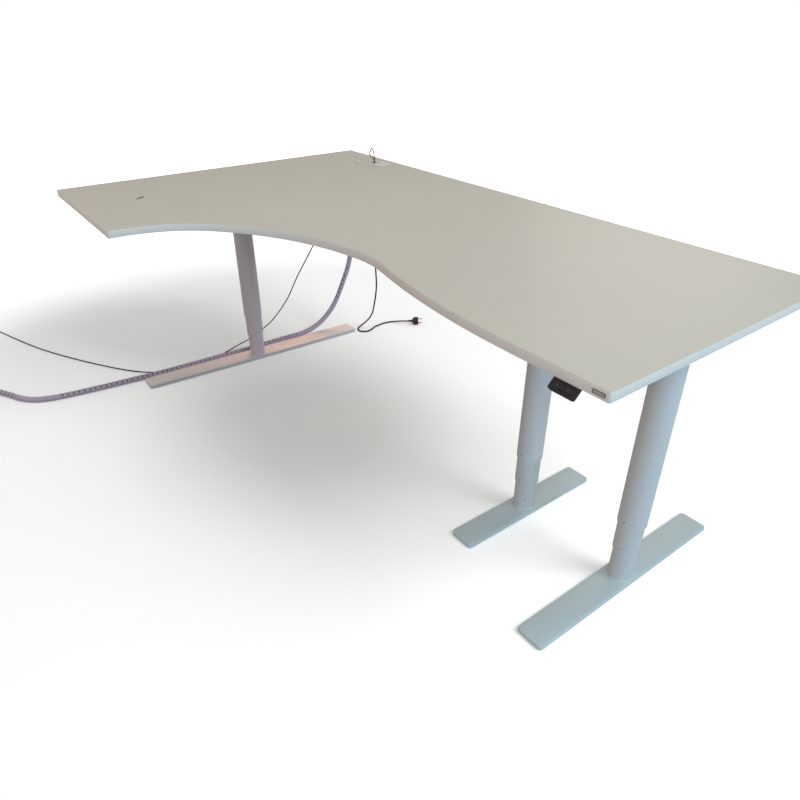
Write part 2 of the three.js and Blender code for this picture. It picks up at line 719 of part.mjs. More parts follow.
const handsetLead = [
  [200.5, -225, -19], [215, -225, -19], [250, -225, -13], [285, -225, -5], [320, -225, -4],
  [860, -225, -4], [1400, -225, -4], [1430, -225, -9], [1455, -225, -26], [1480, -225, -31],
  [1566, -225, -31], [1591, -225, -26], [1616, -225, -9], [1646, -225, -4], [1700, -225, -4],
  [1735, -226, -8], [1765, -232, -18], [1781, -248, -28], [1785, -275, -34], [1785, -400, -35],
  [1785, -480, -33], [1785, -520, -18], [1785, -560, -6], [1785, -660, -5], [1791, -688, -6],
  [1808, -704, -5], [1838, -708, -4], [1876, -709, -3.7], [1896, -715, -3.4], [1906, -728, -3.3],
  [1908.4, -744.3, -3.3],
];

/** Moulded plug: round head with two pins, and the neck that takes the cord. */
function mainsPlug() {
  const r = plugDiameter / 2;
  const neck = plugNeckDiameter / 2;
  const body = turned([
    [0, -plugNeck], [neck, -plugNeck], [neck + 1, -plugNeck / 3], [r * 0.78, -2], [r, 3],
    [r, plugHead - 1], [r - 1, plugHead], [0, plugHead],
  ], 20);
  const pins = [-1, 1].map((side) => bar(pinDiameter, pinLength + 4, 10)
    .translate(side * pinSpacing / 2, 0, plugHead - 4));
  const mesh = part('mains_plug', join(body, ...pins), mainsRubber);
  // the head rests on the floor with its pins one above the other
  mesh.geometry.rotateY(Math.PI / 2);
  mesh.position.set(plugX, plugY, r + clearance);
  mesh.rotation.z = plugTurn * degree;
  return mesh;
}

/** Moulded network connector, from its cable end at z = 0 down to -connectorLength. */
function connector() {
  return plate(roundedRectangle(connectorWidth, connectorHeight, connectorCorner), connectorLength,
    { rounding: 1, steps: 1, curveSegments: 2 }).translate(0, 0, -connectorLength);
}

/** Leads from the control box to the motors and the handset. */
function leads() {
  const group = new THREE.Group();
  group.position.set(left, back, underside);
  const routes = [
    ['motor_lead_right', motorLeadRight], ['motor_lead_middle', motorLeadMiddle],
    ['motor_lead_left', motorLeadLeft], ['handset_lead', handsetLead],
  ];
  for (const [name, route] of routes) {
    group.add(part(name, cordTube(route, leadDiameter, { perPoint: 1 }), leadJacket));
  }
  return group;
}

/** Mains cord, cable spine and data cable, from the desktop down to the floor. */
function cords() {
  const group = new THREE.Group();
  group.position.set(left, back, 0);
  group.add(part('mains_cord', cordTube(mainsRoute, mainsDiameter), mainsRubber));
  group.add(mainsPlug());

  // cable spine, its holder under the board and its end piece on the floor
  group.add(part('cable_spine', cordTube(spineRoute, spineDiameter), spinePlastic));
  const spine = spineDiameter / 2;
  const holder = turned([
    [0, 0], [spine + 2, 0], [spine + 3, 2], [spine + 3, 10], [spine + 12, 12], [spine + 12, 14], [0, 14],
  ], 20);
  const [topX, topY, topZ] = spineRoute[0];
  group.add(part('spine_holder', holder, spinePlastic, topX, topY, topZ + clearance));
  const endPiece = turned([[0, 0], [spine, 0], [spine, 24], [spine - 4, 30], [0, 30]], 16)
    .rotateY(Math.PI / 2);
  const [endX, endY, endZ] = spineRoute[spineRoute.length - 1];
  const [lastX, lastY] = spineRoute[spineRoute.length - 2];
  const spineEnd = part('spine_end', endPiece, spinePlastic);
  spineEnd.rotation.z = Math.atan2(endY - lastY, endX - lastX);
  spineEnd.position.set(endX, endY, endZ).addScaledVector(
    new THREE.Vector3(endX - lastX, endY - lastY, 0).normalize(), clearance);
  group.add(spineEnd);

  // data cable: a connector under the outlet, a loop through it, and a coil with a plug on the floor
  group.add(part('data_cable', cordTube(dataRoute, dataDiameter), dataJacket));
  const [hangX, hangY, hangZ] = dataRoute[0];
  group.add(part('data_connector', connector(), palePlastic, hangX, hangY, hangZ - clearance));
  const [endA, endB] = dataRoute.slice(-2).map(([x, y]) => new THREE.Vector2(x, y));
  const ahead = endB.clone().sub(endA).normalize();
  const coilRadius = coilDiameter / 2;
  const half = dataDiameter / 2;
  // the cord stops where it would run into the coil's outer side, and the plug comes out opposite
  const reach = (halfWidth) =>
    Math.sqrt((coilRadius + half + clearance) ** 2 - (coilRadius - halfWidth) ** 2);
  const approach = reach(half);
  const coil = turned([
    [coilRadius - half, 0], [coilRadius + half, 0],
    [coilRadius + half, coilTurns * dataDiameter], [coilRadius - half, coilTurns * dataDiameter],
  ], 24);
  group.add(part('data_coil', coil, dataJacket,
    endB.x + approach * ahead.x + coilRadius * ahead.y,
    endB.y + approach * ahead.y - coilRadius * ahead.x, clearance));
  const plug = part('data_plug', connector().rotateZ(Math.PI / 2).rotateY(-Math.PI / 2), palePlastic);
  plug.rotation.z = Math.atan2(ahead.y, ahead.x);
  plug.position.set(endB.x, endB.y, connectorHeight / 2 + clearance)
    .addScaledVector(new THREE.Vector3(ahead.x, ahead.y, 0), approach + reach(connectorWidth / 2));
  group.add(plug);
  return group;
}

/** Hook under the board that carries the data cable where it turns down. */
function cableClip() {
  const [from, to] = dataRoute.slice(clipPoint, clipPoint + 2).map(([x, y]) => new THREE.Vector2(x, y));
  const middle = from.clone().add(to).multiplyScalar(0.5);
  const ahead = to.clone().sub(from).normalize();
  const hook = new THREE.Shape([
    [-9, 0], [-9, -2], [3.4, -2], [3.4, -10], [-3.5, -10], [-3.5, -11.6], [5, -11.6], [5, -2],
    [9, -2], [9, 0],
  ].map(([x, z]) => new THREE.Vector2(x, z)));
  const geometry = plate(hook, clipWidth).applyMatrix4(alongMinusY).translate(0, clipWidth / 2, 0);
  const mesh = part('cable_clip', geometry, palePlastic, left + middle.x, back + middle.y, armTop);
  mesh.rotation.z = Math.atan2(ahead.x, -ahead.y);
  return mesh;
}

// ---------------------------------------------------------------- the desk

const group = new THREE.Group();
group.add(desktop());
for (const leg of legs) {
  group.add(supportArm(leg));
  group.add(gearHousing(leg));
  group.add(column(leg));
  group.add(foot(leg));
}
group.add(beam('beam_long', leftLeg, middleLeg));
group.add(beam('beam_short', middleLeg, rightLeg));
group.add(controlBox());
group.add(handset());
group.add(leads());
group.add(cords());
group.add(cableClip());

export default group;
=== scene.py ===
"""Looks of an L-shaped height adjustable desk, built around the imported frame. Metres, +Z up."""

import json
import math

import bmesh
import bpy
from mathutils import Matrix, Vector

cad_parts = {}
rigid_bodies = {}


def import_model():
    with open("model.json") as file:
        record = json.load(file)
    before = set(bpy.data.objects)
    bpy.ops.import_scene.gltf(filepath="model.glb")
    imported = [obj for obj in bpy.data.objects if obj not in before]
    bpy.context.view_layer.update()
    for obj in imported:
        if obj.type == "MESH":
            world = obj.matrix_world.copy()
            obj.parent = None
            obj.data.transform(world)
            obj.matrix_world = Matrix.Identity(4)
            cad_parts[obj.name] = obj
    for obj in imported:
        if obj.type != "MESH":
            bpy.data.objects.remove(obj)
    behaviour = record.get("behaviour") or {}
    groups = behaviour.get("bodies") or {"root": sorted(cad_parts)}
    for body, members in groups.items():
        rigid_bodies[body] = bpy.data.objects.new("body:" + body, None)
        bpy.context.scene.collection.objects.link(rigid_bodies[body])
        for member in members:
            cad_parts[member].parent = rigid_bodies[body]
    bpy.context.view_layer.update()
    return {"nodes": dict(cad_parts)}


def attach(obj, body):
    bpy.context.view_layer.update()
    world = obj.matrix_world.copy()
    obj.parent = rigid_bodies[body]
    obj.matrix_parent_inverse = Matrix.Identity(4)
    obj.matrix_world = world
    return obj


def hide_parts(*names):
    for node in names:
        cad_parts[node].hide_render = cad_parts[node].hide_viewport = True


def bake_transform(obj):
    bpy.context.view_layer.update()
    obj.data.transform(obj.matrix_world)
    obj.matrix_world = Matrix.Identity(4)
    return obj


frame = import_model()
scene = bpy.context.scene
nodes = frame["nodes"]
LEGS = ("right", "middle", "left")

# ---------------------------------------------------------------- camera

DOWN_TILT = 31.38                 # degrees below the horizontal
LEFT_TURN = 53.16                 # degrees from +Y towards -X
camera = bpy.data.objects.new("camera", bpy.data.cameras.new("camera"))
camera.location = (1.512, -1.012, 1.309)
camera.rotation_euler = (math.radians(90 - DOWN_TILT), 0, math.radians(LEFT_TURN))
camera.data.sensor_width = 36
camera.data.lens = 29.01
camera.data.clip_start = 0.05
camera.data.clip_end = 50
scene.collection.objects.link(camera)
scene.camera = camera

# ---------------------------------------------------------------- materials


def linear(rgb, share=1.0):
    """sRGB bytes, darkened to a share of themselves, as a linear colour."""
    out = []
    for c in rgb:
        c = c * share / 255
        out.append(c / 12.92 if c <= 0.04045 else ((c + 0.055) / 1.055) ** 2.4)
    return (*out, 1.0)


class Nodes:
    """A material's node tree, with short calls to add and join nodes."""

    def __init__(self, name):
        self.material = bpy.data.materials.new(name)
        self.material.use_nodes = True
        self.tree = self.material.node_tree
        self.tree.nodes.clear()
        self.output = self.add("ShaderNodeOutputMaterial")
        self.place = self.add("ShaderNodeTexCoord").outputs["Object"]

    def add(self, kind, **settings):
        node = self.tree.nodes.new(kind)
        for key, value in settings.items():
            setattr(node, key, value)
        return node

    def link(self, source, target):
        self.tree.links.new(source, target)

    def noise(self, scale, detail, roughness=0.5, stretch=None):
        node = self.add("ShaderNodeTexNoise")
        node.inputs["Scale"].default_value = scale
        node.inputs["Detail"].default_value = detail
        node.inputs["Roughness"].default_value = roughness
        place = self.place
        if stretch:
            mapping = self.add("ShaderNodeMapping")
            mapping.inputs["Scale"].default_value = stretch
            self.link(place, mapping.inputs["Vector"])
            place = mapping.outputs["Vector"]
        self.link(place, node.inputs["Vector"])
        return node.outputs["Fac"]

    def spread(self, value, low, high, source_low=0.3, source_high=0.7):
        """value, from source_low to source_high, spread over low to high."""
        node = self.add("ShaderNodeMapRange")
        node.inputs["From Min"].default_value = source_low
        node.inputs["From Max"].default_value = source_high
        node.inputs["To Min"].default_value = low
        node.inputs["To Max"].default_value = high
        self.link(value, node.inputs["Value"])
        return node.outputs["Result"]

    def feed(self, socket, value):
        """Give a socket its value, or the output that drives it."""
        if isinstance(value, bpy.types.NodeSocket):
            self.link(value, socket)
        else:
            socket.default_value = value

    def math(self, operation, a, b):
        node = self.add("ShaderNodeMath", operation=operation)
        self.feed(node.inputs[0], a)
        self.feed(node.inputs[1], b)
        return node.outputs[0]

    def spot(self, centre, turn, radii):
        """1 at centre, falling to 0 at the radii of an ellipsoid turned about Z."""
        mapping = self.add("ShaderNodeMapping", vector_type="TEXTURE")
        mapping.inputs["Location"].default_value = centre
        mapping.inputs["Rotation"].default_value = (0, 0, math.radians(turn))
        mapping.inputs["Scale"].default_value = radii
        ball = self.add("ShaderNodeTexGradient", gradient_type="SPHERICAL")
        self.link(self.place, mapping.inputs["Vector"])
        self.link(mapping.outputs["Vector"], ball.inputs["Vector"])
        return ball.outputs["Fac"]

    def mix(self, factor, a, b):
        """Colour a where factor is 0, b where it is 1."""
        node = self.add("ShaderNodeMix", data_type="RGBA")
        for index, value in ((0, factor), (6, a), (7, b)):     # the colour sockets of this node
            self.feed(node.inputs[index], value)
        return node.outputs[2]

    def bump(self, height, strength, distance, normal=None):
        node = self.add("ShaderNodeBump")
        node.inputs["Strength"].default_value = strength
        node.inputs["Distance"].default_value = distance
        self.link(height, node.inputs["Height"])
        if normal:
            self.link(normal, node.inputs["Normal"])
        return node.outputs["Normal"]

    def surface(self, colour, roughness, normal=None, **inputs):
        shader = self.add("ShaderNodeBsdfPrincipled")
        inputs.update({"Base Color": colour, "Roughness": roughness})
        if normal:
            inputs["Normal"] = normal
        for name, value in inputs.items():
            self.feed(shader.inputs[name.replace("_", " ")], value)
        self.link(shader.outputs[0], self.output.inputs["Surface"])
        return self.material


def moulded(name, rgb, roughness, grain=1400, relief=0.25, **inputs):
    """Moulded plastic or rubber: fine grain, slight change of tone."""
    n = Nodes(name)
    colour = n.mix(n.spread(n.noise(9, 3), 0, 1), linear(rgb, 0.95), linear(rgb))
    fine = n.noise(grain, 2)
    normal = n.bump(fine, relief, 0.00012)
    matt = n.spread(fine, roughness - 0.04, roughness + 0.05)
    return n.surface(colour, matt, normal, **inputs)


def powder_coat(name, rgb):
    """Powder coat: orange peel over a fine grain, with a faint change of tone."""
    n = Nodes(name)
    warm = linear([rgb[0], rgb[1] * 0.985, rgb[2] * 0.97])
    colour = n.mix(n.spread(n.noise(3.5, 4), 0, 1), warm, linear(rgb))
    peel = n.noise(420, 2)
    fine = n.noise(1900, 2)
    normal = n.bump(peel, 0.22, 0.00016, n.bump(fine, 0.2, 0.00008))
    return n.surface(colour, n.spread(peel, 0.36, 0.46), normal, IOR=1.48)


def laminate(name, rgb, roughness):
    """Melamine face: pearl grain with a faint cloud in its tone, matter at a low angle."""
    n = Nodes(name)
    cloud = n.noise(2.2, 5, 0.6)
    grain = n.noise(700, 3)
    colour = n.mix(n.spread(cloud, 0, 1), linear(rgb, 0.975), linear(rgb))
    colour = n.mix(n.spread(grain, 0, 0.05), colour, linear(rgb, 0.9))
    # a dark half-moon mark on the left wing: a long spot, less a thinner one beside it
    moon = n.math("SUBTRACT", n.spot((-0.718, -0.406, 0.775), -46, (0.028, 0.013, 0.02)),
                  n.spot((-0.728, -0.413, 0.775), -46, (0.028, 0.011, 0.02)))
    moon_mark = n.spread(n.math("MULTIPLY", moon, n.noise(160, 2)), 0, 0.8, 0.02, 0.2)
    colour = n.mix(moon_mark, colour, linear(rgb, 0.4))
    normal = n.bump(grain, 0.1, 0.00008)
    facing = n.add("ShaderNodeLayerWeight").outputs["Facing"]
    gloss = n.spread(facing, 0.5, 0.04, 0.35, 0.8)
    matt = n.spread(cloud, roughness - 0.02, roughness + 0.03)
    return n.surface(colour, matt, normal, Specular_IOR_Level=gloss)


def edging(name, rgb, upward_shade_rgb):
    """Plastic edging, with painted shade in the laminate's tone where its rounding turns upwards,
    in place of the highlight there.
    """
    n = Nodes(name)
    normal = n.add("ShaderNodeSeparateXYZ")
    n.link(n.add("ShaderNodeTexCoord").outputs["Normal"], normal.inputs[0])
    # painted shade: faces of the rounding that turn upwards take the darker laminate tone
    upward_shade = n.spread(normal.outputs["Z"], 0, 1, 0.25, 0.75)
    colour = n.mix(upward_shade, linear(rgb), linear(upward_shade_rgb))
    colour = n.mix(n.spread(n.noise(6, 3), 0, 0.06), colour, linear(rgb, 0.8))
    fine = n.noise(900, 2)
    relief = n.bump(fine, 0.12, 0.00012)
    return n.surface(colour, n.spread(fine, 0.38, 0.48), relief, Specular_IOR_Level=0.3)


def metal(name, rgb, roughness, brush=None, grain=600, relief=0.2):
    """Bare metal, brushed along an axis or cast."""
    n = Nodes(name)
    fine = n.noise(grain, 3, stretch=brush)
    colour = n.mix(n.spread(fine, 0, 1), linear(rgb, 0.88), linear(rgb))
    matt = n.spread(fine, roughness - 0.06, roughness + 0.08)
    return n.surface(colour, matt, n.bump(fine, relief, 0.0001), Metallic=1.0)


OFF_WHITE = (211, 208, 193)
FINE = {"grain": 2000, "relief": 0.1}      # surface of the cable jackets and the mains plug
MATERIALS = {
    "top": laminate("top_laminate", OFF_WHITE, 0.4),
    "band": edging("edge_band", (223, 221, 215), OFF_WHITE),
    "coat": powder_coat("powder_coat", (200, 206, 207)),
    # painted light: the feet get a cooler copy of the powder coat, tinted for the cool light that
    # falls on them
    "foot": powder_coat("cool_lit_foot_coat", (196, 212, 214)),
    "cast": metal("cast_alloy", (150, 152, 154), 0.48, grain=500, relief=0.5),
    "steel": metal("bare_steel", (176, 177, 179), 0.26, brush=(1, 1, 0.05)),
    "pin": metal("plated_pin", (190, 126, 118), 0.34, grain=1500, relief=0.05),
    "black": moulded("black_plastic", (27, 22, 22), 0.55, Specular_IOR_Level=0.25),
    "key": moulded("key_membrane", (33, 29, 30), 0.6, 2600, 0.2, Specular_IOR_Level=0.25),
    "mark": moulded("key_mark", (146, 150, 158), 0.5),
    "pale": moulded("pale_plastic", (212, 210, 200), 0.38, grain=1500, relief=0.15),
    "rivet": moulded("hole_plug", (74, 76, 80), 0.5),
    "zinc": metal("zinc_screw", (160, 160, 158), 0.3, grain=900, relief=0.1),
    "line": moulded("key_line", (84, 88, 106), 0.5),
    "field": metal("plate_field", (174, 170, 158), 0.45, brush=(0.04, 1, 1), grain=1500),
    "weld": moulded("painted_weld", (197, 204, 206), 0.42, grain=700, relief=0.3),
    "plate": metal("plate_metal", (124, 116, 101), 0.36, brush=(0.04, 1, 1), grain=1500),
    "glide": moulded("glide_rubber", (60, 60, 62), 0.7),
    "bush": moulded("bush_plastic", (196, 196, 194), 0.5),
    "rubber": moulded("mains_rubber", (52, 20, 28), 0.6, **FINE, Specular_IOR_Level=0.06),
    # painted highlight: the plug is a paler copy of the cord's rubber, with more gloss of its own
    "plug": moulded("plug_rubber", (66, 46, 46), 0.42, **FINE, Specular_IOR_Level=0.3),
    "spine": moulded("spine_plastic", (184, 183, 197), 0.45),
    # painted shade for the gaps between the spine's links
    "slit_shade": moulded("spine_slit_shade", (52, 46, 52), 0.7),
    "data": moulded("data_jacket", (56, 42, 46), 0.6, **FINE, Specular_IOR_Level=0.06),
    # painted light: a paler copy of the data jacket for the loop that daylight falls on
    "painted_light": moulded("painted_light_jacket", (116, 112, 107), 0.6, **FINE, Specular_IOR_Level=0.2),
    "lead": moulded("lead_jacket", (40, 40, 42), 0.48),
}

NODE_LOOKS = {
    "desktop_board": "top",
    "edge_band": "band",
    "edge_plate": "plate",
    "outlet_liner": "pale",
    "outlet_lid": "pale",
    "outlet_lid_segment": "pale",
    "beam_long": "coat",
    "beam_short": "coat",
    "control_box": "black",
    "handset_body": "black",
    "handset_key_down": "key",
    "handset_key_up": "key",
    "spine_holder": "spine",
    "spine_end": "spine",
    "data_connector": "pale",
    "cable_clip": "pale",
    "data_plug": "pale",
    "handset_lead": "lead",
}
for leg in LEGS:
    NODE_LOOKS |= {
        f"support_arm_{leg}": "coat",
        f"gear_housing_{leg}": "cast",
        f"outer_tube_{leg}": "coat",
        f"middle_tube_{leg}": "coat",
        f"inner_tube_{leg}": "coat",
        f"outer_bush_{leg}": "bush",
        f"middle_bush_{leg}": "bush",
        f"spindle_{leg}": "steel",
        f"foot_{leg}": "foot",
        f"glide_{leg}_back": "glide",
        f"glide_{leg}_front": "glide",
        f"motor_lead_{leg}": "lead",
    }

SMOOTH_ANGLE = 34                 # degrees between two faces up to which their edge looks round


def softened():
    """Node group that joins split vertices and shades smoothly across shallow edges."""
    group = bpy.data.node_groups.new("softened", "GeometryNodeTree")
    group.interface.new_socket("Geometry", in_out="INPUT", socket_type="NodeSocketGeometry")
    group.interface.new_socket("Geometry", in_out="OUTPUT", socket_type="NodeSocketGeometry")
    add = group.nodes.new
    start, end = add("NodeGroupInput"), add("NodeGroupOutput")
    merge = add("GeometryNodeMergeByDistance")
    merge.inputs["Distance"].default_value = 0.00002
    angle = add("GeometryNodeInputMeshEdgeAngle")
    shallow = add("FunctionNodeCompare")
    shallow.operation = "LESS_THAN"
    shallow.inputs["B"].default_value = math.radians(SMOOTH_ANGLE)
    faces, edges = add("GeometryNodeSetShadeSmooth"), add("GeometryNodeSetShadeSmooth")
    edges.domain = "EDGE"
    link = group.links.new
    link(start.outputs[0], merge.inputs["Geometry"])
    link(merge.outputs[0], faces.inputs["Geometry"])
    link(faces.outputs[0], edges.inputs["Geometry"])
    link(angle.outputs["Unsigned Angle"], shallow.inputs["A"])
    link(shallow.outputs[0], edges.inputs["Shade Smooth"])
    link(edges.outputs[0], end.inputs[0])
    return group


SOFTENED = softened()
for name, look in NODE_LOOKS.items():
    node = nodes[name]
    node.data.materials.clear()
    node.data.materials.append(MATERIALS[look])
    node.modifiers.new("softened", "NODES").node_group = SOFTENED

# ---------------------------------------------------------------- mesh tools


def piece(name, bm, look, body=None, smooth=SMOOTH_ANGLE):
    """What bm holds as a named object with its material, riding on a body."""
    bmesh.ops.recalc_face_normals(bm, faces=bm.faces)
    mesh = bpy.data.meshes.new(name)
    bm.to_mesh(mesh)
    bm.free()
    obj = bpy.data.objects.new(name, mesh)
    scene.collection.objects.link(obj)
    mesh.materials.append(MATERIALS[look])
    mesh.shade_smooth()
    mesh.set_sharp_from_angle(angle=math.radians(smooth))
    if body:
        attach(obj, body)
    return obj


def smooth_route(points):
    """Centripetal Catmull-Rom curve through the points."""
    per_point = 6
    out = []
    last = len(points) - 1
    for i in range(last):
        b, c = points[i], points[i + 1]
        a = points[i - 1] if i else 2 * b - c
        d = points[i + 2] if i + 2 <= last else 2 * c - b
        ab, bc, cd = ((q - p).length ** 0.5 for p, q in ((a, b), (b, c), (c, d)))
        t1 = ((b - a) / ab - (c - a) / (ab + bc) + (c - b) / bc) * bc
        t2 = ((c - b) / bc - (d - b) / (bc + cd) + (d - c) / cd) * bc
        for k in range(per_point):
            t = k / per_point
            out.append(b + t1 * t + (3 * (c - b) - 2 * t1 - t2) * t * t
                       + (2 * (b - c) + t1 + t2) * t ** 3)
    return [*out, points[-1]]


def desk(points):
    """Millimetres from the floor under the desktop's back left corner, as frame points."""
    return [Vector((x / 1000 - 1.0, y / 1000 + 0.6, z / 1000)) for x, y, z in points]


def path_length(path):
    return sum((b - a).length for a, b in zip(path, path[1:]))


def frames_along(path, side=None):
    """Place and turning of each path point, carried along without twist; X starts as side."""
    out = []
    for i, p in enumerate(path):
        ahead = (path[min(i + 1, len(path) - 1)] - path[max(i - 1, 0)]).normalized()
        side = side or ahead.orthogonal()
        side = (side - ahead * side.dot(ahead)).normalized()
        turning = Matrix((side, ahead.cross(side), ahead)).transposed()
        out.append(Matrix.Translation(p) @ turning.to_4x4())
    return out


def lofted(bm, rings):
    """Skin over rings of points with equal counts, closed at both ends."""
    rows = [[bm.verts.new(p) for p in ring] for ring in rings]
    count = len(rows[0])
    for a, b in zip(rows, rows[1:]):
        for i in range(count):
            j = (i + 1) % count
            bm.faces.new((a[i], a[j], b[j], b[i]))
    bm.faces.new(rows[0][::-1])
    bm.faces.new(rows[-1])


def circle(radius, sides):
    return [Vector((radius * math.cos(a), radius * math.sin(a), 0))
            for a in (i * 2 * math.pi / sides for i in range(sides))]


def tube(name, path, diameter, look, sides=14):
    bm = bmesh.new()
    section = circle(diameter / 2, sides)
    lofted(bm, [[m @ p for p in section] for m in frames_along(path)])
    return piece(name, bm, look, smooth=60)


def turned(bm, profile, matrix, sides):
    """Solid of revolution about matrix's Z from (radius, height) pairs in metres."""
    lofted(bm, [[matrix @ Vector((p.x, p.y, z)) for p in circle(r, sides)] for r, z in profile])


def at(x, y, z):
    """Place in millimetres of the frame."""
    return Matrix.Translation((x / 1000, y / 1000, z / 1000))


def heading(direction, up=(0, 0, 1)):
    """Turning whose Z points along direction, with X kept level where it can be."""
    z = Vector(direction).normalized()
    x = Vector(up).cross(z)
    x = x.normalized() if x.length > 1e-6 else Vector((1, 0, 0))
    return Matrix((x, z.cross(x), z)).transposed().to_4x4()


def rounded(width, height, radius):
    """Outline of a rectangle with round corners, in metres from millimetres."""
    steps = 3
    out = []
    for cx, cy, start in ((1, 1, 0), (-1, 1, 90), (-1, -1, 180), (1, -1, 270)):
        for k in range(steps + 1):
            a = math.radians(start + 90 * k / steps)
            out.append(Vector(((cx * (width / 2 - radius) + radius * math.cos(a)) / 1000,
                               (cy * (height / 2 - radius) + radius * math.sin(a)) / 1000, 0)))
    return out


def block(bm, matrix, width, height, thickness, radius, chamfer):
    """Rounded plate from z = 0 up, with chamfered edges; millimetres."""
    levels = ((chamfer, 0), (0, chamfer), (0, thickness - chamfer), (chamfer, thickness))
    lofted(bm, [[matrix @ (p + Vector((0, 0, z / 1000)))
                 for p in rounded(width - 2 * c, height - 2 * c, max(0.1, radius - c))]
                for c, z in levels])


def screw(bm, matrix, diameter, height):
    """Pan head standing on z = 0 with a hexagon socket; millimetres."""
    sides = 18
    r = diameter / 2

    def ring(radius, z, hexagon=False):
        out = []
        for k in range(sides):
            a = 2 * math.pi * k / sides
            bend = (a + math.pi / 6) % (math.pi / 3) - math.pi / 6
            size = radius * (math.cos(math.pi / 6) / math.cos(bend) if hexagon else 1) / 1000
            out.append(matrix @ Vector((size * math.cos(a), size * math.sin(a), z / 1000)))
        return out

    lofted(bm, [ring(r, 0), ring(r, height * 0.45), ring(r * 0.86, height * 0.85),
                ring(r * 0.6, height), ring(r * 0.48, height, True),
                ring(r * 0.46, height * 0.35, True)])


def weld_bead(bm, matrix, radius, width, height, waves):
    """Wavy ring of quarter-round section against a round post; millimetres."""
    sides = 56
    rows = []
    for w, z in ((0, 0), (1, 0), (0.82, 0.42), (0.45, 0.8), (0, 1)):
        ring = []
        for k in range(sides):
            a = 2 * math.pi * k / sides
            r = (radius + w * width * (1 + 0.16 * math.sin(waves * a))) / 1000
            place = Vector((r * math.cos(a), r * math.sin(a), z * height / 1000))
            ring.append(bm.verts.new(matrix @ place))
        rows.append(ring)
    for a, b in zip(rows, [*rows[1:], rows[0]]):
        for k in range(sides):
            j = (k + 1) % sides
            bm.faces.new((a[k], a[j], b[j], b[k]))


# ---------------------------------------------------------------- cords

MAINS_ROUTE = [
    (222.9, -50, 732), (233.4, -50, 731.9), (243.7, -50, 730.1), (253, -50, 725.3),
    (260.3, -50, 717.9), (265.1, -50, 708.7), (266.9, -50, 698.4), (267, -50, 687.9),
    (263, -50, 640), (254, -50, 540), (245, -50, 440), (244.5, -50, 350), (248.1, -50, 290.6),
    (249.8, -49.8, 240), (243.9, -51.1, 189.6), (233.2, -52, 145.5), (219.2, -52.9, 100.2),
    (201.9, -54.1, 70.5), (177.3, -44.5, 50.3), (152.3, -53.1, 21.7), (146.5, -68.8, 10.2),
    (150.9, -87.6, 4.7), (162.5, -100, 3.6), (176.8, -104.5, 3.6), (191, -101.6, 3.9),
    (204, -90.4, 4.3), (209, -74.8, 4.4), (200.2, -43.3, 4.1), (187.3, -21.7, 3.6), (184, 1.2, 3.6),
    (180.9, 24.2, 3.6), (181, 46.3, 3.6), (187.8, 69, 4.1), (203.8, 87.6, 7.1),
    (226.1, 100.6, 13.4), (245.5, 111.5, 17.4), (257.6, 126, 18.6),
]
SPINE_ROUTE = [
    (78, -68, 738), (78, -68, 640), (78, -68, 540), (78, -68.5, 440), (78, -76, 331),
    (78, -95, 271), (78, -116.5, 226.5), (77, -141, 175.5), (75, -167.5, 127), (72, -200, 86),
    (70, -243, 51), (63, -292, 24), (58, -338, 12.5), (56, -400, 11.4), (55, -480, 11.4),
    (55, -570, 11.4), (54, -650, 11.4), (49, -744, 11.4), (46, -850, 11.4), (42, -940, 11.4),
    (36, -1028, 11.4), (29, -1100, 11.4), (21, -1180, 11.4), (11, -1265, 11.4), (-1, -1350, 11.4),
    (-17, -1418, 11.4), (-42, -1468, 11.4), (-82, -1505, 11.4), (-130, -1531, 11.4),
    (-184, -1563, 11.4), (-225, -1587, 11.4),
]
DATA_ROUTE = [
    (295.5, -81.5, 736.4), (295.5, -81.5, 752), (295.5, -81.5, 768), (298, -79.1, 777.4),
    (298.4, -80.1, 795.1), (296.2, -81.5, 811.3), (289.7, -81.1, 823.9), (280.6, -78.9, 829.1),
    (272.7, -77.2, 827.3), (266.5, -77.1, 818.8), (264.4, -79, 805), (266.4, -77.1, 798.9),
    (276.8, -72.8, 790.9), (287.1, -73.8, 781.2), (290.3, -76.8, 769.9), (289.4, -83, 757),
    (284.5, -92, 748.2), (250, -142, 746), (226, -176, 745), (214, -193, 736), (208, -201, 708),
    (188, -231, 612), (152, -275, 488), (121, -312, 400), (91, -359, 303), (70, -413, 196),
    (62, -487, 118), (50, -531, 84), (18, -587, 38), (4, -638, 17), (0, -672, 5), (11, -706, 2.6),
    (29, -752, 2.6), (28, -850, 2.6), (20, -985, 2.6), (-12, -1036, 2.6), (-66, -1088, 2.6),
    (-194, -1176, 2.6), (-505, -1345, 2.6), (-956, -1511, 2.6),
]
MAINS_DIAMETER = 0.0065
SPINE_DIAMETER = 0.022
DATA_DIAMETER = 0.0045
SPINE_PITCH = 0.02
COIL_RADIUS = 0.026
COIL_TURNS = 2
PLUG_HALF = 0.006                 # half the width of the data cable's far plug
LOOP_FROM = 0.762                 # height above which the data cable stands in daylight


def clamped(value):
    return min(1, max(0, value))


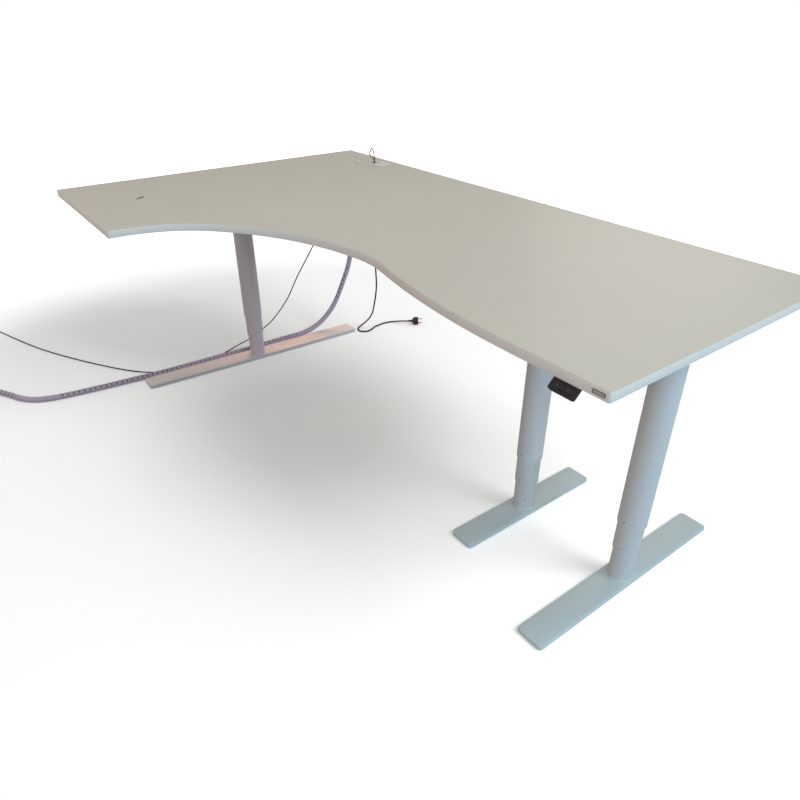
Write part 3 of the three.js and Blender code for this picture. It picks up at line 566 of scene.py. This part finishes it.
def coiled(run, radius, diameter, turns, plug_half):
    """The run, carried on into stacked turns to the right of it and out to a plug ahead."""
    steps = 40                    # of a turn
    climb_share = 0.15            # of a turn, in which it climbs onto the next layer
    leave_share = 0.2             # of the last turn, in which it widens to pass the others
    leave_width = 1.02 * diameter
    drop = 0.0025                 # from the last turn down to the plug's axis
    air = 0.0003                  # between coil and plug

    def reach(half):
        return math.sqrt((radius + diameter / 2 + air) ** 2 - (radius - half) ** 2)

    def eased(t):
        t = clamped(t)
        return t * t * (3 - 2 * t)

    ahead = (run[-1] - run[-2]).normalized()
    aside = Vector((-ahead.y, ahead.x, 0))
    touch = run[-1] + ahead * reach(diameter / 2)
    centre = touch - aside * radius
    out = list(run)
    for i in range(turns * steps + 1):
        share = i / steps
        layer = int(share)
        climb = layer + eased((share - layer - 1 + climb_share) / climb_share)
        wider = leave_width * eased((share - turns + leave_share) / leave_share)
        spot = Matrix.Rotation(-2 * math.pi * share, 3, "Z") @ aside * (radius + wider)
        out.append(centre + spot + Vector((0, 0, diameter * min(climb, turns - 1))))
    # off the last turn, down and across to the plug's axis
    last = out[-1]
    length = reach(plug_half)
    for i in range(1, 9):
        t = i / 8
        out.append(last + ahead * length * t - aside * leave_width * eased(t)
                   - Vector((0, 0, drop * eased(t))))
    return out


mains_path = smooth_route(desk(MAINS_ROUTE))
mains = tube("mains_lead", mains_path, MAINS_DIAMETER, "rubber")
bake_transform(mains)
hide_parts("mains_cord")


def along(path, step):
    """The path resampled at an even step."""
    out = [path[0]]
    due = step
    gone = 0.0
    for a, b in zip(path, path[1:]):
        length = (b - a).length
        while due <= gone + length:
            out.append(a.lerp(b, (due - gone) / length))
            due += step
        gone += length
    return out


def linked(name, path, diameter, pitch, look):
    """Round links in a row: a thin groove at each joint, notched on the side the row folds to, with
    painted shade in the open notches.
    """
    sides = 24
    parts = 20                    # a link's pitch is walked in so many parts
    # part of the link, with the groove's and the notch's depth there
    stations = ((0, 0.0011, 0.006), (1, 0.0011, 0.006), (2, 0.0004, 0.0056), (3, 0, 0.0012),
                (6, 0, 0), (10, 0, 0), (14, 0, 0), (17, 0, 0.0012), (18, 0.0004, 0.0056),
                (19, 0.0011, 0.006))
    gap = (0, 1, 19)              # the parts between two links
    window = 30                   # parts before and after, over which the fold is measured
    fold_from, fold_range = 0.045, 0.05   # radians in which a fold closes the notches
    notch_from, notch_range = 0.5, 0.34   # cosines in which the notch deepens round the link
    fine = along(path, pitch / parts)
    last = len(fine) - 1
    turns = frames_along(fine, Vector((0, -1, 0)))
    rings = []
    slit_shades = []
    for start in range(0, last - parts + 1, parts):
        for station, groove, notch in stations:
            i = start + station
            fold = 0
            if min(i, last - i) >= window:
                fold = (fine[i + window] - fine[i]).angle(fine[i] - fine[i - window])
            opened = clamped(1 - (fold - fold_from) / fold_range)
            ring = []
            for k in range(sides):
                a = 2 * math.pi * k / sides
                share = clamped((math.cos(a) - notch_from) / notch_range)
                r = diameter / 2 - groove * (0.4 + 0.6 * opened) - (notch - groove) * share * opened
                ring.append(turns[i] @ Vector((r * math.cos(a), r * math.sin(a), 0)))
            rings.append(ring)
            # painted shade: the open notch between two links takes a dark material where shade
            # falls in the gap
            shaded_gap = station in gap and opened > 0.4
            slit_shades.append([shaded_gap and math.cos(2 * math.pi * (k + 0.5) / sides) > 0.15
                          for k in range(sides)])
    rings.append([turns[last] @ p for p in circle(diameter / 2 - 0.0004, sides)])
    bm = bmesh.new()
    lofted(bm, rings)
    bm.faces.ensure_lookup_table()
    for i, row in enumerate(slit_shades):
        for k, slit_shade in enumerate(row):
            bm.faces[i * sides + k].material_index = int(slit_shade)
    obj = piece(name, bm, look, smooth=38)
    obj.data.materials.append(MATERIALS["slit_shade"])
    return obj


spine_path = smooth_route(desk(SPINE_ROUTE))
spine = linked("spine_links", spine_path, SPINE_DIAMETER, SPINE_PITCH, "spine")
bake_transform(spine)
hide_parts("cable_spine")

data_run = smooth_route(desk(DATA_ROUTE))
data_path = coiled(data_run, COIL_RADIUS, DATA_DIAMETER, COIL_TURNS, PLUG_HALF)
data = tube("data_lead", data_path, DATA_DIAMETER, "data", sides=12)
# painted light: the loop that stands above the outlet gets a paler jacket colour, where daylight
# falls on it
data.data.materials.append(MATERIALS["painted_light"])
for face in data.data.polygons:
    face.material_index = int(face.center.z > LOOP_FROM)
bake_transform(data)
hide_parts("data_cable", "data_coil")

# ---------------------------------------------------------------- small pieces

# millimetres: each column's axis in the frame, and how far its arm reaches back and to the front
COLUMNS = {"right": (876, 200), "middle": (523, 200), "left": (-885.5, 4)}
ARM_ENDS = {"right": (320, 280), "middle": (260, 260), "left": (270, 400)}
FOOT_BODY = {"right": "floor_stand", "middle": "foot_stage_middle", "left": "foot_stage_left"}
BOARD_SEAT = 752.7                # heights of the undersides, from the board down
ARM_UNDER = 749.7
GEAR_UNDER = 691.4
BEAM_UNDER = 722.7
EAR_UNDER = 748.7
FLANGE_UNDER = 747.7
FOOT_TOP = 15.0
MOTOR_REACH = 97.3                # from a column's axis to its motor's end
MOTOR_AXIS = 720.4
BOX_SIDE = -799.7                 # the control box's side that holds its sockets
HANDSET_X = 908.4
FRONT_EDGE = -200
KEY_MIDDLE = -10.6                # down the handset's slanted face
DOWN = heading((0, 0, -1), (0, 1, 0))
RIGHTWARDS = heading((1, 0, 0))


def plug_in(bm, x, y, z, radius, azimuth, proud):
    """Round plug in a tube's wall, facing outwards; millimetres and degrees."""
    a = math.radians(azimuth)
    out = (math.cos(a), math.sin(a), 0)
    r = 0.0019
    turned(bm, [(r, -0.0004), (r, proud * 0.6 / 1000), (r * 0.8, proud / 1000)],
           at(x + radius * out[0], y + radius * out[1], z) @ heading(out), 14)


for leg, (x, y) in COLUMNS.items():
    # the middle tube's plugs are nearly flush, because they slide up through the outer bush
    for name, radius, z, proud, body in (("outer", 36.95, 210, 0.35, "desktop"),
                                         ("middle", 33.95, 120, 0.08, f"middle_stage_{leg}")):
        bm = bmesh.new()
        for azimuth in (0, 90, 180, 270):
            plug_in(bm, x, y, z, radius, azimuth, proud)
        piece(f"{name}_hole_plugs_{leg}", bm, "rivet", body)
    bm = bmesh.new()
    weld_bead(bm, at(x, y, FOOT_TOP), 31, 2.0, 1.8, 30)
    piece(f"foot_weld_{leg}", bm, "weld", FOOT_BODY[leg], 60)

    # four screws hold the arm to the board, and four the gear housing to the arm
    bm = bmesh.new()
    behind, before = ARM_ENDS[leg]
    for dx in (-25, 25):
        for dy in (behind - 30, 30 - before):
            screw(bm, at(x + dx, y + dy, ARM_UNDER) @ DOWN, 11, 3.6)
    for dx in (-28, 28):
        for dy in (-38, 38):
            screw(bm, at(x + dx, y + dy, GEAR_UNDER) @ DOWN, 9, 4.5)
    piece(f"screws_{leg}", bm, "zinc", "desktop")

    # ribbed grommet where the lead leaves the motor's end
    bm = bmesh.new()
    turned(bm, [(0.0058, 0), (0.0058, 0.0022), (0.0044, 0.0028), (0.0046, 0.0045),
                (0.0039, 0.0051), (0.0041, 0.0068), (0.0034, 0.0074), (0.0036, 0.0091),
                (0.0031, 0.012)], at(x, y + MOTOR_REACH, MOTOR_AXIS) @ heading((0, 1, 0)), 20)
    piece(f"motor_grommet_{leg}", bm, "black", "desktop")

# screw in the middle leg's inner tube, just above its foot
bm = bmesh.new()
plug_in(bm, *COLUMNS["middle"], 53, 30.85, -45, 0.1)
piece("grub_screw", bm, "rivet", "foot_stage_middle")

# beam ends, control box and handset are screwed on from below
bm = bmesh.new()
for x in (-817, 455, 591, 808):
    for y in (178, 222):
        screw(bm, at(x, y, BEAM_UNDER) @ DOWN, 9, 3.2)
for y in (573, 293):
    screw(bm, at(-847.5, y, EAR_UNDER) @ DOWN, 8.5, 2.8)
for dx in (-20, 20):
    screw(bm, at(HANDSET_X + dx, -160, FLANGE_UNDER) @ DOWN, 7.5, 2.4)
piece("frame_screws", bm, "zinc", "desktop")

# plugs of the leads in the control box's side, each with a latch
bm = bmesh.new()
for y in (375, 357, 339, 321):
    block(bm, at(BOX_SIDE, y, 734) @ RIGHTWARDS, 12, 9, 11.7, 1.2, 0.6)
    block(bm, at(BOX_SIDE + 0.2, y, 739) @ RIGHTWARDS, 5, 1.4, 9, 0.4, 0.3)
piece("lead_plugs", bm, "black", "desktop")

# ribbed gland of the mains cord
bm = bmesh.new()
profile = [(0.0075, 0), (0.0075, 0.004), (0.0062, 0.0048)]
for i in range(6):
    r, z = 0.0062 - 0.00028 * i, 0.0056 + 0.0026 * i
    profile += [(r, z), (r, z + 0.0013), (r - 0.0007, z + 0.0017), (r - 0.0007, z + 0.0023)]
turned(bm, [*profile, (0.00445, 0.022)], at(BOX_SIDE, 550, 732) @ RIGHTWARDS, 28)
gland = piece("ribbed_gland", bm, "black", "desktop")
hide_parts("mains_gland")

# key marks and the line between the keys, on the handset's slanted face
FACE = at(HANDSET_X, FRONT_EDGE, BOARD_SEAT) @ Matrix.Rotation(math.radians(45), 4, "X")
for side, way, key in ((-1, 180, "key_down"), (1, 0, "key_up")):
    bm = bmesh.new()
    spot = FACE @ at(side * 12, KEY_MIDDLE, 0.5) @ Matrix.Rotation(math.radians(way + 90), 4, "Z")
    rings = []
    for r, z in ((0.00095, -0.0002), (0.00095, 0.00006), (0.00075, 0.00012)):
        # a circle drawn out to three tips
        ring = [p * (0.8 if i % 4 else 1.25) for i, p in enumerate(circle(r, 12))]
        rings.append([spot @ Vector((p.x, p.y, z)) for p in ring])
    lofted(bm, rings)
    piece(f"mark_{key}", bm, "mark", key)
bm = bmesh.new()
block(bm, FACE @ at(0, KEY_MIDDLE, -0.1), 0.6, 8.5, 0.22, 0.25, 0.05)
piece("key_line", bm, "line", "desktop")

# bare field of the edge plate
bm = bmesh.new()
block(bm, at(976.7, FRONT_EDGE - 0.85, 764) @ heading((0, -1, 0)), 23.9, 5.4, 0.2, 0.4, 0.05)
piece("plate_field", bm, "field", "desktop")

# moulded boots and latches of the data cable's two connectors
boot = [(0.0040, 0), (0.0040, 0.003), (0.0033, 0.0036), (0.0034, 0.006), (0.0030, 0.0066),
        (0.0031, 0.009), (0.0027, 0.0096)]
bm = bmesh.new()
turned(bm, boot, at(-704.5, 518.5, 736.3), 20)
block(bm, at(-704.5, 523.0, 716) @ heading((0, 0.2, 1), (1, 0, 0)), 1.2, 6, 15, 0.5, 0.3)
socket_boot = piece("connector_boot", bm, "pale", "desktop")

bm = bmesh.new()
cable_end = data_path[-1]
tail = (data_path[-2] - cable_end).normalized()
turned(bm, boot[:5], Matrix.Translation(cable_end) @ heading(tail), 20)
latch = cable_end - tail * 0.019 + Vector((0, 0, 0.0042))
block(bm, Matrix.Translation(latch) @ heading(tail), 6, 1.1, 15, 0.4, 0.3)
plug_boot = piece("plug_boot", bm, "pale", "floor_stand")

# moulded mains plug: round head, waisted neck with grip ribs, two pins one above the other
PLUG = (at(-728, 748.3, 18.8) @ Matrix.Rotation(math.radians(57), 4, "Z")
        @ Matrix.Rotation(math.radians(90), 4, "Y"))
bm = bmesh.new()
neck = []
for i in range(5):
    z, r = -26 + 3.4 * i, 4.75 + 0.2 * i
    neck += [(r, z), (r, z + 1.7), (r - 0.7, z + 2.2), (r - 0.7, z + 2.9)]
head = [(5.75, -8.7), (9.5, -5.5), (14.4, -2), (17.2, 0.6), (18.5, 3), (18.5, 8), (17.9, 8.6),
        (17.9, 10), (18.5, 10.6), (18.5, 19.2), (17.9, 20.6), (16.6, 21), (16.2, 20.2), (2, 20.2)]
turned(bm, [(r / 1000, z / 1000) for r, z in neck + head], PLUG, 40)
plug = piece("plug_head", bm, "plug", "floor_stand", 40)
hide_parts("mains_plug")
bm = bmesh.new()
for side in (-9.5, 9.5):
    pin = [(0.0024, 0.0195), (0.0024, 0.0385), (0.0020, 0.0396), (0.0011, 0.04)]
    turned(bm, pin, PLUG @ at(side, 0, 0), 18)
pins = piece("plug_pins", bm, "pin", "floor_stand")

path_length(mains_path)
path_length(spine_path)
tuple(data_path[0])
path_length(data_path)

# ---------------------------------------------------------------- stage, light and world

floor_mesh = bpy.data.meshes.new("floor")
floor_mesh.from_pydata([(x, y, 0) for x, y in ((-14, -14), (14, -14), (14, 14), (-14, 14))],
                       [], [(0, 1, 2, 3)])
floor = bpy.data.objects.new("floor", floor_mesh)
scene.collection.objects.link(floor)
FLOOR_GREY = (0.74, 0.74, 0.74, 1)        # what the floor throws back as soft light
FLOOR_IN_GLOSS = (1.2, 1.25, 1.27, 1)     # what glossy surfaces and glass see of it
FLOOR_GAIN = 2.2                          # how strongly the camera sees its light and shadow
FLOOR_SEEN = (FLOOR_GAIN * 0.93, FLOOR_GAIN * 1.02, FLOOR_GAIN * 1.045, 1)
GLOW_IN_GLOSS = 0.35                      # share of the floor's glow that gloss and glass see
SHADOW_MIDDLE = (-0.3, -0.12, 0)
ground = Nodes("floor_paint")
path_kind = ground.add("ShaderNodeLightPath").outputs
seen = path_kind["Is Camera Ray"]
mirrored = ground.math("MAXIMUM", path_kind["Is Glossy Ray"], path_kind["Is Transmission Ray"])
paint = ground.add("ShaderNodeBsdfDiffuse")
tone = ground.mix(mirrored, FLOOR_GREY, FLOOR_IN_GLOSS)
ground.feed(paint.inputs["Color"], ground.mix(seen, tone, FLOOR_SEEN))
# painted light: the floor glows whiter outwards from the middle of the shadow into the background
distance = ground.add("ShaderNodeVectorMath", operation="DISTANCE")
ground.feed(distance.inputs[0], ground.place)
ground.feed(distance.inputs[1], SHADOW_MIDDLE)
near = ground.spread(distance.outputs["Value"], 0.0, 0.105, 0.28, 0.65)
# painted shade: less of that glow in the band along the outside of the wing
band = ground.spread(ground.spot((-1.4, -0.26, 0), 30, (0.95, 0.5, 1)), 1.0, 0.0, 0.1, 0.6)
near = ground.math("MULTIPLY", near, band)
far = ground.spread(distance.outputs["Value"], 0.0, 1.0, 1.6, 3.6)
shine = ground.math("ADD", near, far)
viewer = ground.math("ADD", seen, ground.math("MULTIPLY", mirrored, GLOW_IN_GLOSS))
glow = ground.add("ShaderNodeEmission")
ground.feed(glow.inputs["Strength"], ground.math("MULTIPLY", shine, viewer))
both = ground.add("ShaderNodeAddShader")
ground.feed(both.inputs[0], paint.outputs[0])
ground.feed(both.inputs[1], glow.outputs[0])
ground.feed(ground.output.inputs["Surface"], both.outputs[0])
floor_mesh.materials.append(ground.material)

world = bpy.data.worlds.new("studio")
scene.world = world
world.use_nodes = True
add, join = world.node_tree.nodes.new, world.node_tree.links.new
world.node_tree.nodes.clear()
# camera, mirrors and glass see a white room; the rest of the light is soft
ray_kind = add("ShaderNodeLightPath").outputs
direct = ray_kind["Is Camera Ray"]
for ray in ("Is Glossy Ray", "Is Transmission Ray"):
    either = add("ShaderNodeMath")
    either.operation = "MAXIMUM"
    join(direct, either.inputs[0])
    join(ray_kind[ray], either.inputs[1])
    direct = either.outputs[0]
choice = add("ShaderNodeMixShader")
join(direct, choice.inputs[0])
for place, colour, strength in ((1, (1, 0.91, 0.89, 1), 0.3), (2, (1, 1, 1, 1), 1)):
    light = add("ShaderNodeBackground")
    light.inputs["Color"].default_value = colour
    light.inputs["Strength"].default_value = strength
    join(light.outputs[0], choice.inputs[place])
join(choice.outputs[0], add("ShaderNodeOutputWorld").inputs["Surface"])


def area_lamp(name, place, target, size, power, rgb):
    lamp = bpy.data.lights.new(name, "AREA")
    lamp.shape = "DISK"
    lamp.size = size
    lamp.energy = power
    lamp.color = rgb
    obj = bpy.data.objects.new(name, lamp)
    obj.location = place
    obj.rotation_euler = (Vector(target) - Vector(place)).to_track_quat("-Z", "Y").to_euler()
    scene.collection.objects.link(obj)
    return obj


# name, place, target, diameter, power and colour; the tints are those of the photo's daylight
LAMPS = [
    ("key_lamp", (3.7, 1.7, 4.1), (0, 0, 0.4), 2.4, 86, (0.78, 0.945, 1)),
    ("floor_lamp", (3.7, 1.7, 4.1), (0, 0, 0.4), 3.2, 83, (1, 0.91, 0.89)),
    ("left_leg_lamp", (-0.1, -2.5, 0.3), (-0.9, 0, 0.1), 1.0, 5, (1, 0.66, 0.92)),
    ("left_foot_lamp", (2.7, 1.25, 1.22), (-0.9, 0, 0.05), 0.5, 42, (0.84, 0.72, 1)),
    ("middle_leg_lamp", (3.2, 1.6, 1.1), (0.5, 0.2, 0.5), 0.8, 15, (0.97, 0.9, 1)),
    ("side_lamp", (4.6, -0.7, 1.4), (0, 0, 0.5), 1.8, 57, (0.26, 0.71, 1.1)),
    ("front_lamp", (0.2, -3.4, 1.6), (0.2, 0, 0.6), 2.0, 11, (1, 0.76, 0.68)),
    ("corner_lamp", (2.6, -2.6, 2.4), (0.3, 0, 0.4), 1.8, 25, (0.96, 0.95, 0.91)),
    ("left_lamp", (-3.4, -1.2, 1.8), (-0.4, 0, 0.3), 2.0, 12, (1, 0.72, 0.65)),
    ("back_lamp", (-1.2, 3.4, 1.8), (-0.2, 0, 0.4), 2.0, 12, (1, 0.88, 0.86)),
    ("top_lamp", (0, 0, 3.4), (0, 0, 0.5), 2.4, 8, (1, 0.85, 0.78)),
    ("low_warm_lamp", (-1.6, 0.66, 0.7), (-0.886, -0.05, 0), 0.5, 9, (1.1, 0.45, 0.22)),
]


def gathered(name, keep):
    """Collection of the meshes that a lamp lights."""
    group = bpy.data.collections.new(name)
    for obj in scene.objects:
        if obj.type == "MESH" and keep(obj):
            group.objects.link(obj)
    return group


def on_left(obj):
    return obj.name.endswith(("_left", "_left_back", "_left_front")) or obj == spine


# The floor has a key lamp of its own, so that its shadow stays one soft shape of neutral tone.
# The two cool lamps on the right leave out the left leg and the spine, which have two of their
# own, and the middle column and the left foot have one each that lights nothing else.
desk_only = gathered("desk_only", lambda obj: obj != floor)
not_left = gathered("desk_without_left_leg", lambda obj: obj != floor and not on_left(obj))
left_leg = gathered("left_leg", on_left)
RECEIVERS = {
    "floor_lamp": gathered("floor_only", lambda obj: obj == floor),
    "side_lamp": not_left,
    "corner_lamp": not_left,
    "left_leg_lamp": left_leg,
    "middle_leg_lamp": gathered("middle_column", lambda obj: obj.name == "outer_tube_middle"),
    "left_foot_lamp": left_leg,
    "low_warm_lamp": gathered("left_foot", lambda obj: obj.name == "foot_left"),
}
WITHOUT_GLARE = ("side_lamp", "low_warm_lamp", "left_foot_lamp", "middle_leg_lamp")
for lamp in LAMPS:
    obj = area_lamp(*lamp)
    obj.light_linking.receiver_collection = RECEIVERS.get(lamp[0], desk_only)
    obj.visible_glossy = lamp[0] not in WITHOUT_GLARE

scene.view_settings.view_transform = "Standard"
